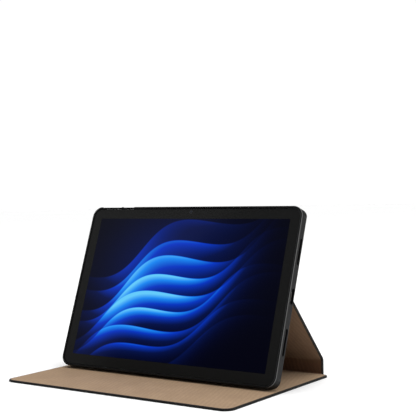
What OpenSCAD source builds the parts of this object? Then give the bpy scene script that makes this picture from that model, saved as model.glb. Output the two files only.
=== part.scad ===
// Folding stand case for a tablet, shown open as a stand with its tablet in the tray.
// One wrap of leather, boards and lining makes the front cover, the spine, the back flap
// and the fixed back panel. The back panel is bonded to the upper half of a hard tray.
// +X runs along the tablet's long edge, +Y points to the rear and +Z is up. The origin is
// the centre of the front cover's underside, on the surface that the case stands on.

/* [Tablet] */
// Length of the tablet's long edge
tablet_w = 257; // [200:0.5:320]
// Length of the tablet's short edge
tablet_h = 169; // [130:0.5:220]
// Thickness of the tablet
tablet_t = 7.5; // [7:0.1:10]
// Corner radius of the tablet seen from the front
tablet_r = 9; // [5:0.5:14]
// Thickness of the tablet's cover glass
glass_t = 0.8; // [0.5:0.1:1.2]
// Black border round the picture
bezel = 11; // [10:0.5:14]
// Distance from the glass's top edge to the middle of the front camera
front_camera_inset = 3.6; // [3.5:0.1:3.8]

/* [Tray] */
// Thickness of the tray's back
tray_back_t = 1.6; // [1:0.1:2.4]
// Thickness of the tray's side walls
tray_wall = 1.6; // [1.4:0.1:2.4]
// Clearance round the tablet's edge
tablet_gap = 0.25; // [0.1:0.05:0.5]
// Height of the tray's rim above the glass
lip = 1; // [0.5:0.1:1.5]
// Radius along the tray's back edges
tray_edge_r = 2; // [1:0.1:3]
// Length of each speaker slot in the short sides
speaker_slot_l = 25.5; // [12:0.5:32]
// Height of each speaker slot
speaker_slot_h = 3.4; // [2:0.1:4.5]
// Distance from the tray's long edges to the middle of a speaker slot
speaker_slot_at = 43.5; // [36:0.5:50]
// Length of the charging cut-out
port_cut_l = 15; // [12:0.5:20]
// Height of the charging cut-out
port_cut_h = 5.8; // [5:0.1:6]
// Diameter of the hole for the rear camera
camera_hole_d = 16; // [14:0.5:20]
// Distance of the rear camera from the tray's top and side
camera_inset = 17; // [15:0.5:24]
// Distance from the tray's left end to the middle of the volume key
volume_at = 25; // [24:0.5:26]
// Distance from the tray's left end to the middle of the power key
power_at = 48; // [48:0.5:56]
// Distance from the tray's left end to the microphone's hole
microphone_at = 110; // [80:1:120]

/* [Wrap] */
// How far the front cover reaches past the tray at each short side
cover_side_overhang = 2.2; // [1:0.1:5]
// How far the front cover reaches past the tray at its free edge
cover_front_overhang = 2.8; // [1:0.1:5]
// Corner radius of the front cover
cover_r = 10; // [4:0.5:16]
// How much narrower the spine and the back flap are than the tray at each short side
flap_side_inset = 5.4; // [3:0.1:12]
// How much narrower the fixed back panel is than the tray at each free side
back_inset = 2; // [1.5:0.1:5]
// Distance between the spine's two fold lines
spine_l = 16; // [14:0.5:20]
// Thickness of the outer leather
skin_t = 0.6; // [0.4:0.1:0.9]
// Thickness of the stiffening boards
board_t = 1; // [0.8:0.1:1.6]
// Thickness of the fabric lining
lining_t = 0.5; // [0.3:0.1:0.8]
// Thickness of the bonding film under the fixed back panel
film_t = 0.4; // [0.2:0.1:0.6]
// Width of the turned leather edge beside the boards
turned_edge = 0.8; // [0.6:0.1:1.2]
// Board-free leather on each side of a fold line
gutter = 2.5; // [2.2:0.1:4]
// Diameter of each sleep magnet
magnet_d = 8; // [5:0.5:10]

/* [Stand] */
// Angle between the tablet and the table
stand_angle = 70; // [64:0.5:74]
// Height of the crease on the tray's back
crease_at = 88; // [76:0.5:96]

/* [Keys] */
// Length of the power key
power_key_l = 10; // [8:0.5:14]
// Length of the volume key
volume_key_l = 22; // [16:0.5:26]
// Height of both keys
key_h = 2.4; // [1.8:0.1:3]
// How far the keys stand out of the tablet
key_out = 0.5; // [0.3:0.1:0.8]
// Travel of the power key
key_travel = 0.25; // [0.15:0.05:0.35]
// Depth of the finger recess in the tray's wall over each key
key_recess = 0.6; // [0.3:0.1:0.8]

/* [Hidden] */
$fn = 96;

// A cut that runs past a face by this much leaves no skin of material behind.
past = 1;
// Clearance between pieces that lie against each other but move apart.
seat_gap = 0.3;
// Clearance of a piece that lies still in its pocket.
pocket_gap = 0.1;

// Fold lines: each is a round bead of leather, flush with the outer face.
fold_r = 0.5;
fold_gap = 0.3;
skin_end = fold_r + fold_gap;
panel_t = skin_t + board_t + lining_t;
inner_face = panel_t - fold_r;
// The turned edge ends just below the lining's face.
rim_drop = 0.2;
rim_t = panel_t - rim_drop;

// Tray and tablet, in the tray's own frame: x across, y up the tray, z out of the screen.
pocket_w = tablet_w + 2 * tablet_gap;
pocket_h = tablet_h + 2 * tablet_gap;
pocket_r = tablet_r + tablet_gap;
tray_w = pocket_w + 2 * tray_wall;
tray_h = pocket_h + 2 * tray_wall;
tray_r = pocket_r + tray_wall;
tablet_lift = 0.2;
tablet_back = tray_back_t + tablet_lift;
tablet_front = tablet_back + tablet_t;
tray_t = tablet_front + lip;
tray_mid = tray_h / 2;
tablet_top = tray_mid + tablet_h / 2;
tablet_side = tablet_w / 2;

// The wrap's panels.
cover_w = tray_w + 2 * cover_side_overhang;
cover_d = tray_h + cover_front_overhang;
cover_in_w = cover_w - 2 * turned_edge;
cover_in_d = cover_d - 2 * turned_edge;
cover_in_r = cover_r - turned_edge;
flap_w = tray_w - 2 * flap_side_inset;
layer_w = flap_w - 2 * turned_edge - 2 * pocket_gap;
magnet_inset = 12;
magnet_spacing = 22;
magnet_y = magnet_inset - cover_d / 2;

// The back panel is a seat gap thicker than the flap, so that the flap lies flat beside it.
back_t = panel_t + seat_gap;
back_w = tray_w - 2 * back_inset;
back_r = tray_r - back_inset;
back_in_w = back_w - 2 * turned_edge;
back_in_r = back_r - turned_edge;
back_from = crease_at + skin_end;
back_inner_from = crease_at + gutter;
back_to = tray_h - back_inset;
back_layer_to = back_to - turned_edge - pocket_gap;
back_rim_top = -pocket_gap;
crease_drop = back_t - fold_r;

// The spine folds clear of the tray's lower edge when the flap lies on the tray's back.
spine_clear = 0.8;
flap_l = crease_at + inner_face + spine_clear;

// Where the stand stands. Angles are from +Y towards +Z.
cover_fold_y = cover_d / 2 + gutter;
cover_fold_z = fold_r;
flap_fold_z = cover_fold_z + spine_l;
foot_drop = tray_edge_r * (sin(stand_angle) + cos(stand_angle) - 1);
tray_foot_z = panel_t + seat_gap - foot_drop;
crease_z = tray_foot_z + crease_at * sin(stand_angle) - crease_drop * cos(stand_angle);
flap_rise = asin((crease_z - flap_fold_z) / flap_l);
flap_angle = 180 - flap_rise;
crease_y = cover_fold_y - flap_l * cos(flap_rise);
tray_foot_y = crease_y - crease_at * cos(stand_angle) - crease_drop * sin(stand_angle);

// Tablet internals, from the tablet's back to its glass.
housing_wall = 2;
housing_back_t = 0.9;
glass_inset = 0.4;
housing_front = tablet_front - glass_t;
inside_back = tablet_back + housing_back_t;
inside_w = tablet_w - 2 * housing_wall;
inside_h = tablet_h - 2 * housing_wall;
inside_r = tablet_r - housing_wall;
inside_top = tray_mid + inside_h / 2;
front_camera_d = 2.8;
display_overlap = 4.75;
display_t = 1.4;
display_r = 1;
display_border = bezel - display_overlap;
display_w = tablet_w - 2 * display_border;
display_h = tablet_h - 2 * display_border;
display_back = housing_front - display_t;
mid_plate_t = 0.5;
mid_plate_back = display_back - mid_plate_t;

// The bay between the tablet's back and its mid plate, where everything else lies.
bay_t = mid_plate_back - inside_back;
bay_mid = inside_back + bay_t / 2;
bay_gap = 3;
speaker_l = 18;
speaker_w = 9;
speaker_r = 1;
port_w = 9;
port_h = 3.2;
port_l = 7.5;
port_wall = 0.35;
tongue_w = 5.4;
tongue_h = 0.6;
tongue_l = 6;
camera_x = camera_inset - tray_w / 2;
camera_y = tray_h - camera_inset;
camera_ring_d = 12;
camera_proud = 0.9;
camera_lens_d = 9;
lens_seat_depth = 0.45;
lens_t = 0.27;
circuit_w = -2 * (camera_x + camera_ring_d / 2 + bay_gap);
circuit_h = 33;
circuit_t = 2;
circuit_r = 1;
circuit_top = inside_top - 7.5;
battery_side = 53;
battery_bottom = 12;
battery_r = 2;
battery_w = inside_w - 2 * battery_side;
battery_h = circuit_top - circuit_h - bay_gap - (inside_top - inside_h) - battery_bottom;
microphone_w = 4;
microphone_l = 3;

// Keys: each has a flange behind the wall that keeps it in its slot.
key_gap = 0.15;
key_flange = 1;
key_flange_t = 0.6;
key_stop_gap = 0.1;
key_flange_y = -housing_wall - key_stop_gap - key_flange_t;
switch_gap = 0.05;
switch_t = 1.2;
switch_front = key_flange_y - key_travel - switch_gap;

// Openings in the walls of the tray and the tablet.
volume_x = volume_at - tray_w / 2;
power_x = power_at - tray_w / 2;
microphone_x = microphone_at - tray_w / 2;
key_cut_back = bay_mid - 2.4;
key_cut_margin = 2.8;
key_cut_slope = 0.8;
key_window_back = key_cut_back + 0.2;
key_window_h = 3.9;
key_window_margin = 1.2;
// The keys pass out through this groove behind the rim when the tablet is lifted.
key_groove = key_out - tablet_gap + key_gap;
key_groove_margin = 0.5;
microphone_d = 1.6;
microphone_cut_d = 2.4;
speaker_hole_d = 1.3;
speaker_hole_step = 2.6;
// A round end this much smaller than half the slot's height keeps its outline in one piece.
round_end_slack = 0.01;

// ---- Shapes that repeat ----

// A flat outline with round corners, centred on the origin.
module rounded_rect(w, h, r) {
    square([w - 2 * r, h], center = true);
    square([w, h - 2 * r], center = true);
    for (x = [-1, 1], y = [-1, 1])
        translate([x * (w / 2 - r), y * (h / 2 - r)])
            circle(r);
}

// A plate of that outline, standing on z = 0.
module plate(w, h, r, t) {
    linear_extrude(t)
        rounded_rect(w, h, r);
}

// An outline from y = 0 up to y = h whose far corners are round.
module round_ended_rect(w, h, r) {
    translate([-w / 2, 0])
        square([w, h - r]);
    translate([-w / 2 + r, 0])
        square([w - 2 * r, h]);
    for (x = [-1, 1])
        translate([x * (w / 2 - r), h - r])
            circle(r);
}

// A strip across the case, from y0 to y1 and z0 to z1.
module strip(w, y0, y1, z0, z1) {
    translate([-w / 2, y0, z0])
        cube([w, y1 - y0, z1 - z0]);
}

// The round leather bead on a fold line.
module fold_bead(w) {
    rotate([0, 90, 0])
        cylinder(r = fold_r, h = w, center = true);
}

// A cut with round ends through a short side's wall: l long and h high, around the origin.
module side_slot(l, h, depth) {
    translate([0, 0, bay_mid])
        rotate([90, 0, 90])
            linear_extrude(depth, center = true)
                rounded_rect(l, h, h / 2 - round_end_slack);
}

// Places children on the centre of each speaker's slot, at the height of a side wall.
module at_speakers(x) {
    for (side = [-1, 1], y = [speaker_slot_at, tray_h - speaker_slot_at])
        translate([side * x, y, 0])
            children();
}

// ---- Frames: each panel is drawn flat, with its fold line at y = 0 and its inside up ----

module in_cover_frame() {
    translate([0, 0, cover_fold_z])
        children();
}

module in_spine_frame() {
    translate([0, cover_fold_y, cover_fold_z])
        rotate([90, 0, 0])
            children();
}

module in_flap_frame() {
    translate([0, cover_fold_y, flap_fold_z])
        rotate([flap_angle, 0, 0])
            children();
}

module in_tray_frame() {
    translate([0, tray_foot_y, tray_foot_z])
        rotate([stand_angle, 0, 0])
            children();
}

// ---- Front cover ----

module cover_skin() {
    color([0.07, 0.07, 0.07])
        in_cover_frame() {
            translate([0, 0, -fold_r])
                difference() {
                    plate(cover_w, cover_d, cover_r, rim_t);
                    translate([0, 0, skin_t])
                        plate(cover_in_w, cover_in_d, cover_in_r, panel_t);
                }
            strip(
                flap_w, (cover_in_d + turned_edge) / 2, cover_fold_y - skin_end,
                -fold_r, skin_t - fold_r
            );
        }
}

// Places children on each of the four magnets.
module at_magnets() {
    for (i = [-1.5:1:1.5])
        translate([i * magnet_spacing, magnet_y, 0])
            children();
}

module cover_board() {
    color([0.55, 0.52, 0.47])
        in_cover_frame()
            translate([0, 0, skin_t - fold_r])
                difference() {
                    plate(
                        cover_in_w - 2 * pocket_gap, cover_in_d - 2 * pocket_gap,
                        cover_in_r - pocket_gap, board_t
                    );
                    at_magnets()
                        translate([0, 0, -past])
                            cylinder(d = magnet_d + 2 * pocket_gap, h = board_t + 2 * past);
                }
}

module sleep_magnets() {
    color([0.75, 0.75, 0.77])
        in_cover_frame()
            translate([0, 0, skin_t - fold_r])
                at_magnets()
                    cylinder(d = magnet_d, h = board_t);
}

module cover_lining() {
    color([0.62, 0.48, 0.36])
        in_cover_frame()
            translate([0, 0, skin_t + board_t - fold_r])
                plate(
                    cover_in_w - 2 * pocket_gap, cover_in_d - 2 * pocket_gap,
                    cover_in_r - pocket_gap, lining_t
                );
}

// ---- Spine and back flap ----

// Leather of a panel between two fold lines, with turned edges on its two free sides.
module folded_skin(w, from, to, rim_from, rim_to) {
    strip(w, from, to, -fold_r, skin_t - fold_r);
    for (x = [-1, 1])
        translate([x * (w - turned_edge) / 2, 0, 0])
            strip(turned_edge, rim_from, rim_to, -fold_r, rim_t - fold_r);
}

module spine_skin() {
    color([0.07, 0.07, 0.07])
        in_spine_frame() {
            folded_skin(flap_w, 0, spine_l, gutter, spine_l - gutter);
            fold_bead(flap_w);
            translate([0, spine_l, 0])
                fold_bead(flap_w);
        }
}

// A layer of a panel inside its turned edges, z0 to z1 above the leather's outer face.
module panel_layer(from, to, z0, z1) {
    strip(layer_w, from, to, z0 - fold_r, z1 - fold_r);
}

module spine_board() {
    color([0.55, 0.52, 0.47])
        in_spine_frame()
            panel_layer(gutter, spine_l - gutter, skin_t, skin_t + board_t);
}

module spine_lining() {
    color([0.5, 0.36, 0.26])
        in_spine_frame()
            panel_layer(gutter, spine_l - gutter, skin_t + board_t, panel_t);
}

module flap_skin() {
    color([0.07, 0.07, 0.07])
        in_flap_frame() {
            folded_skin(flap_w, skin_end, flap_l, gutter, flap_l - gutter);
            translate([0, flap_l, 0])
                fold_bead(flap_w);
        }
}

module flap_board() {
    color([0.55, 0.52, 0.47])
        in_flap_frame()
            panel_layer(gutter, flap_l - gutter, skin_t, skin_t + board_t);
}

module flap_lining() {
    color([0.5, 0.36, 0.26])
        in_flap_frame()
            panel_layer(gutter, flap_l - gutter, skin_t + board_t, panel_t);
}

// ---- Fixed back panel ----

module camera_opening(d) {
    translate([camera_x, camera_y, -back_t - past])
        cylinder(d = d, h = back_t + tray_back_t + 2 * past);
}

// A layer of the fixed panel, w wide, y0 to y1 up the tray and z0 to z1 out of it.
module back_plate(w, y0, y1, r, z0, z1) {
    translate([0, y0, z0])
        linear_extrude(z1 - z0)
            round_ended_rect(w, y1 - y0, r);
}

// A layer inside the turned edge, with its camera opening.
module back_layer(z0, z1) {
    difference() {
        back_plate(
            back_in_w - 2 * pocket_gap, back_inner_from, back_layer_to, back_in_r - pocket_gap, z0, z1
        );
        camera_opening(camera_hole_d + 2 * pocket_gap);
    }
}

module back_skin() {
    color([0.07, 0.07, 0.07])
        in_tray_frame()
            difference() {
                union() {
                    back_plate(back_w, back_from, back_to, back_r, -back_t, skin_t - back_t);
                    back_plate(back_w, back_inner_from, back_to, back_r, -back_t, back_rim_top);
                }
                back_plate(
                    back_in_w, back_inner_from - past, back_to - turned_edge, back_in_r,
                    skin_t - back_t, past
                );
                camera_opening(camera_hole_d);
            }
}

module back_board() {
    color([0.55, 0.52, 0.47])
        in_tray_frame()
            back_layer(skin_t - back_t, -film_t);
}

module bonding_film() {
    color([0.85, 0.8, 0.6])
        in_tray_frame()
            back_layer(-film_t, 0);
}

// ---- Tray ----

// The tray's outside with its back edges rounded along all four sides.
module tray_block() {
    intersection() {
        translate([0, tray_mid, 0])
            plate(tray_w, tray_h, tray_r, tray_t);
        translate([0, tray_mid, 0])
            rotate([90, 0, 0])
                linear_extrude(tray_h + 2 * past, center = true)
                    edge_rounded_section(tray_w);
        translate([0, tray_mid, 0])
            rotate([90, 0, 90])
                linear_extrude(tray_w + 2 * past, center = true)
                    edge_rounded_section(tray_h);
    }
}

// A section across the tray whose two lower corners are round.
module edge_rounded_section(w) {
    translate([-w / 2, tray_edge_r])
        square([w, tray_t]);
    translate([tray_edge_r - w / 2, 0])
        square([w - 2 * tray_edge_r, tray_t]);
    for (x = [-1, 1])
        translate([x * (w / 2 - tray_edge_r), tray_edge_r])
            circle(tray_edge_r);
}

// A box across the tray's top wall, l long around x, from the pocket out to y1 past its wall.
module across_wall(x, l, y1, z0, h) {
    translate([x - l / 2, tray_h - tray_wall - past, z0])
        cube([l, past + y1, h]);
}

// The cut-out over a key of length l: a finger recess with sloping ends, the key's window,
// and the groove that lets the key out.
module key_cut_out(x, l) {
    end = l / 2 + key_cut_margin;
    foot = end - key_cut_slope;
    translate([x, tray_h, key_cut_back])
        linear_extrude(tray_t)
            polygon([
                [-end, past], [-end, 0], [-foot, -key_recess],
                [foot, -key_recess], [end, 0], [end, past]
            ]);
    across_wall(
        x, l + 2 * key_window_margin, tray_wall + past, key_window_back, key_window_h
    );
    across_wall(x, l + 2 * key_groove_margin, key_groove, bay_mid, tray_t);
}

module tray_shell() {
    color([0.11, 0.11, 0.11])
        in_tray_frame()
            difference() {
                tray_block();
                translate([0, tray_mid, tray_back_t])
                    plate(pocket_w, pocket_h, pocket_r, tray_t);
                camera_opening(camera_hole_d);
                at_speakers((tray_w - tray_wall) / 2)
                    side_slot(speaker_slot_l, speaker_slot_h, tray_wall + past);
                translate([(tray_w - tray_wall) / 2, tray_mid, 0])
                    side_slot(port_cut_l, port_cut_h, tray_wall + past);
                key_cut_out(volume_x, volume_key_l);
                key_cut_out(power_x, power_key_l);
                translate([microphone_x, tray_h + past, bay_mid])
                    rotate([90, 0, 0])
                        cylinder(d = microphone_cut_d, h = tray_wall + 2 * past);
            }
}

// ---- Tablet ----

// The slot that a key of length l moves in.
module key_slot(x, l) {
    translate([x, tablet_top, bay_mid])
        cube([l + 2 * key_gap, 2 * (housing_wall + past), key_h + 2 * key_gap], center = true);
}

// The row of seven small holes in front of each speaker.
module speaker_holes() {
    at_speakers(tablet_side)
        for (i = [-3:3])
            translate([0, i * speaker_hole_step, bay_mid])
                rotate([0, 90, 0])
                    cylinder(d = speaker_hole_d, h = 2 * (housing_wall + past), center = true);
}

module tablet_housing() {
    color([0.25, 0.26, 0.27])
        in_tray_frame()
            difference() {
                translate([0, tray_mid, tablet_back])
                    plate(tablet_w, tablet_h, tablet_r, housing_front - tablet_back);
                translate([0, tray_mid, inside_back])
                    plate(inside_w, inside_h, inside_r, tablet_t);
                key_slot(power_x, power_key_l);
                key_slot(volume_x, volume_key_l);
                translate([tablet_side - housing_wall / 2, tray_mid, 0])
                    side_slot(
                        port_w + 2 * pocket_gap, port_h + 2 * pocket_gap, housing_wall + 2 * past
                    );
                speaker_holes();
                translate([microphone_x, tablet_top + past, bay_mid])
                    rotate([90, 0, 0])
                        cylinder(d = microphone_d, h = housing_wall + 2 * past);
                translate([camera_x, camera_y, tablet_back - past])
                    cylinder(d = camera_ring_d, h = housing_back_t + 2 * past);
            }
}

module cover_glass() {
    color([0.02, 0.02, 0.025])
        in_tray_frame()
            translate([0, tray_mid, housing_front])
                plate(
                    tablet_w - 2 * glass_inset, tablet_h - 2 * glass_inset,
                    tablet_r - glass_inset, glass_t
                );
}

module display_panel() {
    color([0.03, 0.06, 0.3])
        in_tray_frame()
            translate([0, tray_mid, display_back])
                plate(display_w, display_h, display_r, display_t);
}

module mid_plate() {
    color([0.6, 0.62, 0.64])
        in_tray_frame()
            translate([0, tray_mid, mid_plate_back])
                plate(
                    inside_w - 2 * pocket_gap, inside_h - 2 * pocket_gap,
                    inside_r - pocket_gap, mid_plate_t
                );
}

module battery() {
    color([0.15, 0.15, 0.16])
        in_tray_frame()
            translate([0, circuit_top - circuit_h - bay_gap - battery_h / 2, inside_back])
                plate(battery_w, battery_h, battery_r, bay_t);
}

module mainboard() {
    color([0.05, 0.25, 0.15])
        in_tray_frame()
            translate([0, circuit_top - circuit_h / 2, inside_back])
                plate(circuit_w, circuit_h, circuit_r, circuit_t);
}

module speakers() {
    color([0.1, 0.1, 0.1])
        in_tray_frame()
            at_speakers(inside_w / 2 - pocket_gap - speaker_w / 2)
                translate([0, 0, inside_back])
                    plate(speaker_w, speaker_l, speaker_r, bay_t);
}

// The socket, with the contact tongue inside it.
module charging_port() {
    color([0.75, 0.75, 0.76])
        in_tray_frame()
            translate([tablet_side - port_l, tray_mid, bay_mid])
                rotate([90, 0, 90]) {
                    difference() {
                        linear_extrude(port_l)
                            rounded_rect(port_w, port_h, port_h / 2 - round_end_slack);
                        translate([0, 0, port_wall])
                            linear_extrude(port_l)
                                rounded_rect(
                                    port_w - 2 * port_wall, port_h - 2 * port_wall,
                                    port_h / 2 - port_wall - round_end_slack
                                );
                    }
                    translate([-tongue_w / 2, -tongue_h / 2, port_wall / 2])
                        cube([tongue_w, tongue_h, tongue_l]);
                }
}

// The front camera looks out through the glass above the display.
module front_camera() {
    color([0.02, 0.03, 0.06])
        in_tray_frame()
            translate([0, tablet_top - front_camera_inset, display_back])
                cylinder(d = front_camera_d, h = display_t);
}

// The camera's housing stands through the tablet's back, with a seat for its lens.
module rear_camera() {
    color([0.2, 0.2, 0.21])
        in_tray_frame()
            translate([camera_x, camera_y, tablet_back - camera_proud])
                difference() {
                    cylinder(
                        d = camera_ring_d - 2 * pocket_gap, h = camera_proud + housing_back_t + bay_t
                    );
                    translate([0, 0, -past])
                        cylinder(d = camera_lens_d, h = past + lens_seat_depth);
                }
}

module rear_lens() {
    color([0.02, 0.03, 0.06])
        in_tray_frame()
            translate([camera_x, camera_y, tablet_back - camera_proud + lens_seat_depth - lens_t])
                cylinder(d = camera_lens_d - 2 * pocket_gap, h = lens_t);
}

module microphone() {
    color([0.7, 0.7, 0.7])
        in_tray_frame()
            translate([
                microphone_x - microphone_w / 2, inside_top - pocket_gap - microphone_l, inside_back
            ])
                cube([microphone_w, microphone_l, bay_t]);
}

// The strip of switches behind the keys, standing on the tablet's back.
module key_switches() {
    color([0.75, 0.55, 0.2])
        in_tray_frame()
            translate([
                volume_x - volume_key_l / 2, tablet_top + switch_front - switch_t, inside_back
            ])
                cube([power_x - volume_x + (volume_key_l + power_key_l) / 2, switch_t, bay_t]);
}

// A key of length l with the flange that keeps it in its slot.
module side_key(l) {
    translate([-l / 2, key_flange_y, -key_h / 2])
        cube([l, key_out - key_flange_y, key_h]);
    translate([-l / 2 - key_flange, key_flange_y, -key_h / 2])
        cube([l + 2 * key_flange, key_flange_t, key_h]);
}

module power_key() {
    color([0.25, 0.26, 0.27])
        in_tray_frame()
            translate([power_x, tablet_top, bay_mid])
                side_key(power_key_l);
}

module volume_key() {
    color([0.25, 0.26, 0.27])
        in_tray_frame()
            translate([volume_x, tablet_top, bay_mid])
                side_key(volume_key_l);
}

cover_skin();
cover_board();
cover_lining();
sleep_magnets();
spine_skin();
spine_board();
spine_lining();
flap_skin();
flap_board();
flap_lining();
tray_shell();
back_skin();
back_board();
bonding_film();
tablet_housing();
cover_glass();
display_panel();
mid_plate();
battery();
mainboard();
speakers();
charging_port();
front_camera();
rear_camera();
rear_lens();
microphone();
key_switches();
power_key();
volume_key();
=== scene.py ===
"""Folding stand case with its tablet: meshes, finishes, light and camera.

Every size is in millimetres, as in the part's source. A piece is modelled in
millimetres and turned into metres when it leaves the bench.
"""

import logging
import math
from dataclasses import dataclass, field
from enum import Enum
from typing import Any, Callable, Optional, Sequence, Union

import bmesh
import bpy
from mathutils import Matrix, Vector


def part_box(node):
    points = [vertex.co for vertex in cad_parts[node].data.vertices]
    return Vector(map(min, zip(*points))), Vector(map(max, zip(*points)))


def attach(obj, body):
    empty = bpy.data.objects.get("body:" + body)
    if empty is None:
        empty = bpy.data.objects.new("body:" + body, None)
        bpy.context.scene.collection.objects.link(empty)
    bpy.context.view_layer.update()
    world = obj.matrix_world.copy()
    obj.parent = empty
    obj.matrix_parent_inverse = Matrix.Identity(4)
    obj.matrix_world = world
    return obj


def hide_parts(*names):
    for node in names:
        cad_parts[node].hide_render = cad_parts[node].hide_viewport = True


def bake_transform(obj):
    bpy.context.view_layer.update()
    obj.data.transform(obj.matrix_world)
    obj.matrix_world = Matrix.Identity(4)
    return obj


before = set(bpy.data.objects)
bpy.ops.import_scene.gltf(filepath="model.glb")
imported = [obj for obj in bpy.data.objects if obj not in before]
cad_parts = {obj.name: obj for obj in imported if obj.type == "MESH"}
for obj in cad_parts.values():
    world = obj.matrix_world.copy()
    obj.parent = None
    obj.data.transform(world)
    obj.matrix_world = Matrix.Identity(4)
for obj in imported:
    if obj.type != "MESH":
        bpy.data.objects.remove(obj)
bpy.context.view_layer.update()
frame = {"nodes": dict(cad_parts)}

MM = 0.001
ROUND_STEPS = 64
LOG = logging.getLogger("tablet_case")


class Body(str, Enum):
    """The bodies of the case; pieces ride on the tray, the tablet and the keys."""

    COVER = "front_cover"
    SPINE = "spine"
    FLAP = "back_flap"
    TRAY = "tray"
    TABLET = "tablet"
    POWER_KEY = "power_key"
    VOLUME_KEY = "volume_key"


class Grain(Enum):
    """How a metal surface was finished."""

    BLASTED = "blasted"
    BRUSHED = "brushed"
    PLATED = "plated"


# ---- Sizes ----


@dataclass(frozen=True)
class Sizes:
    """Sizes of the case and its tablet, the same as the part's."""

    tablet_w: float = 257.0
    tablet_h: float = 169.0
    tablet_t: float = 7.5
    tablet_r: float = 9.0
    bezel: float = 11.0
    front_camera_inset: float = 3.6
    tray_back_t: float = 1.6
    tray_wall: float = 1.6
    tablet_gap: float = 0.25
    tablet_lift: float = 0.2
    lip: float = 1.0
    tray_edge_r: float = 2.0
    side_overhang: float = 2.2
    front_overhang: float = 2.8
    flap_side_inset: float = 5.4
    back_inset: float = 2.0
    spine_l: float = 16.0
    panel_t: float = 2.1
    lining_t: float = 0.5
    skin_t: float = 0.6
    seat_gap: float = 0.3
    fold_r: float = 0.5
    gutter: float = 2.5
    stand_angle: float = math.radians(70)
    crease_at: float = 88.0
    spine_clear: float = 0.8
    camera_inset: float = 17.0
    camera_hole_d: float = 16.0
    cover_front_r: float = 10.0
    cover_rear_r: float = 6.5

    @property
    def tray_w(self) -> float:
        """Width of the tray."""
        return self.tablet_w + 2 * (self.tablet_gap + self.tray_wall)

    @property
    def tray_h(self) -> float:
        """Height of the tray along its back."""
        return self.tablet_h + 2 * (self.tablet_gap + self.tray_wall)

    @property
    def tray_r(self) -> float:
        """Radius of the tray's outer corners."""
        return self.tablet_r + self.tablet_gap + self.tray_wall

    @property
    def tray_t(self) -> float:
        """Thickness of the tray with its rim."""
        return self.glass_face + self.lip

    @property
    def glass_face(self) -> float:
        """Height of the tablet's glass above the tray's back."""
        return self.tray_back_t + self.tablet_lift + self.tablet_t

    @property
    def cover_w(self) -> float:
        """Width of the front cover."""
        return self.tray_w + 2 * self.side_overhang

    @property
    def cover_d(self) -> float:
        """Depth of the front cover."""
        return self.tray_h + self.front_overhang

    @property
    def strip_w(self) -> float:
        """Width of the spine and the back flap."""
        return self.tray_w - 2 * self.flap_side_inset

    @property
    def back_w(self) -> float:
        """Width of the fixed back panel."""
        return self.tray_w - 2 * self.back_inset

    @property
    def back_t(self) -> float:
        """Thickness of the fixed back panel."""
        return self.panel_t + self.seat_gap

    @property
    def flap_l(self) -> float:
        """Distance between the back flap's two fold lines."""
        return self.crease_at + self.panel_t - self.fold_r + self.spine_clear

    @property
    def cover_fold(self) -> Vector:
        """Fold line between the front cover and the spine."""
        return Vector((0, self.cover_d / 2 + self.gutter, self.fold_r))

    @property
    def flap_fold(self) -> Vector:
        """Fold line between the spine and the back flap."""
        return self.cover_fold + Vector((0, 0, self.spine_l))

    @property
    def foot_z(self) -> float:
        """Height of the tray's lower back edge."""
        a = self.stand_angle
        drop = self.tray_edge_r * (math.sin(a) + math.cos(a) - 1)
        return self.panel_t + self.seat_gap - drop

    @property
    def crease(self) -> Vector:
        """Fold line between the back flap and the tray."""
        a, drop = self.stand_angle, self.back_t - self.fold_r
        z = self.foot_z + self.crease_at * math.sin(a) - drop * math.cos(a)
        rise = math.asin((z - self.flap_fold.z) / self.flap_l)
        return Vector((0, self.cover_fold.y - self.flap_l * math.cos(rise), z))

    @property
    def flap_angle(self) -> float:
        """Direction of the back flap, from +Y towards +Z."""
        run = self.crease - self.flap_fold
        return math.atan2(run.z, run.y)

    @property
    def fold_lines(self) -> tuple[Vector, Vector, Vector]:
        """The three fold lines, from the cover to the tray."""
        return self.cover_fold, self.flap_fold, self.crease

    @property
    def panel_angles(self) -> tuple[float, float, float, float]:
        """Directions of the cover, the spine, the flap and the tray, from +Y towards +Z."""
        return 0.0, math.pi / 2, self.flap_angle, self.stand_angle

    @property
    def tray_frame(self) -> Matrix:
        """Places the tray's own frame: across, up its back, and out of the screen."""
        a, drop = self.stand_angle, self.back_t - self.fold_r
        y = self.crease.y - self.crease_at * math.cos(a) - drop * math.sin(a)
        return Matrix.Translation((0, y, self.foot_z)) @ Matrix.Rotation(a, 4, "X")

    @property
    def camera_spot(self) -> Vector:
        """Middle of the rear camera in the tray's frame."""
        return Vector((self.camera_inset - self.tray_w / 2, self.tray_h - self.camera_inset, 0))


SIZES = Sizes()


# ---- Shader building ----


def operator_of(operation: str, reflected: bool = False) -> Callable[..., "Socket"]:
    """Makes a method of Socket that adds one Math node.

    Args:
        operation: The node's operation.
        reflected: Whether the other value comes before the socket's own.

    Returns:
        The method.
    """

    def method(self: "Socket", *others: Union["Socket", float]) -> "Socket":
        """The operation's result on the socket and the other values."""
        values = (*others, self) if reflected else (self, *others)
        return self.tree.add("ShaderNodeMath", {"operation": operation}, dict(enumerate(values)))

    return method


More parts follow.
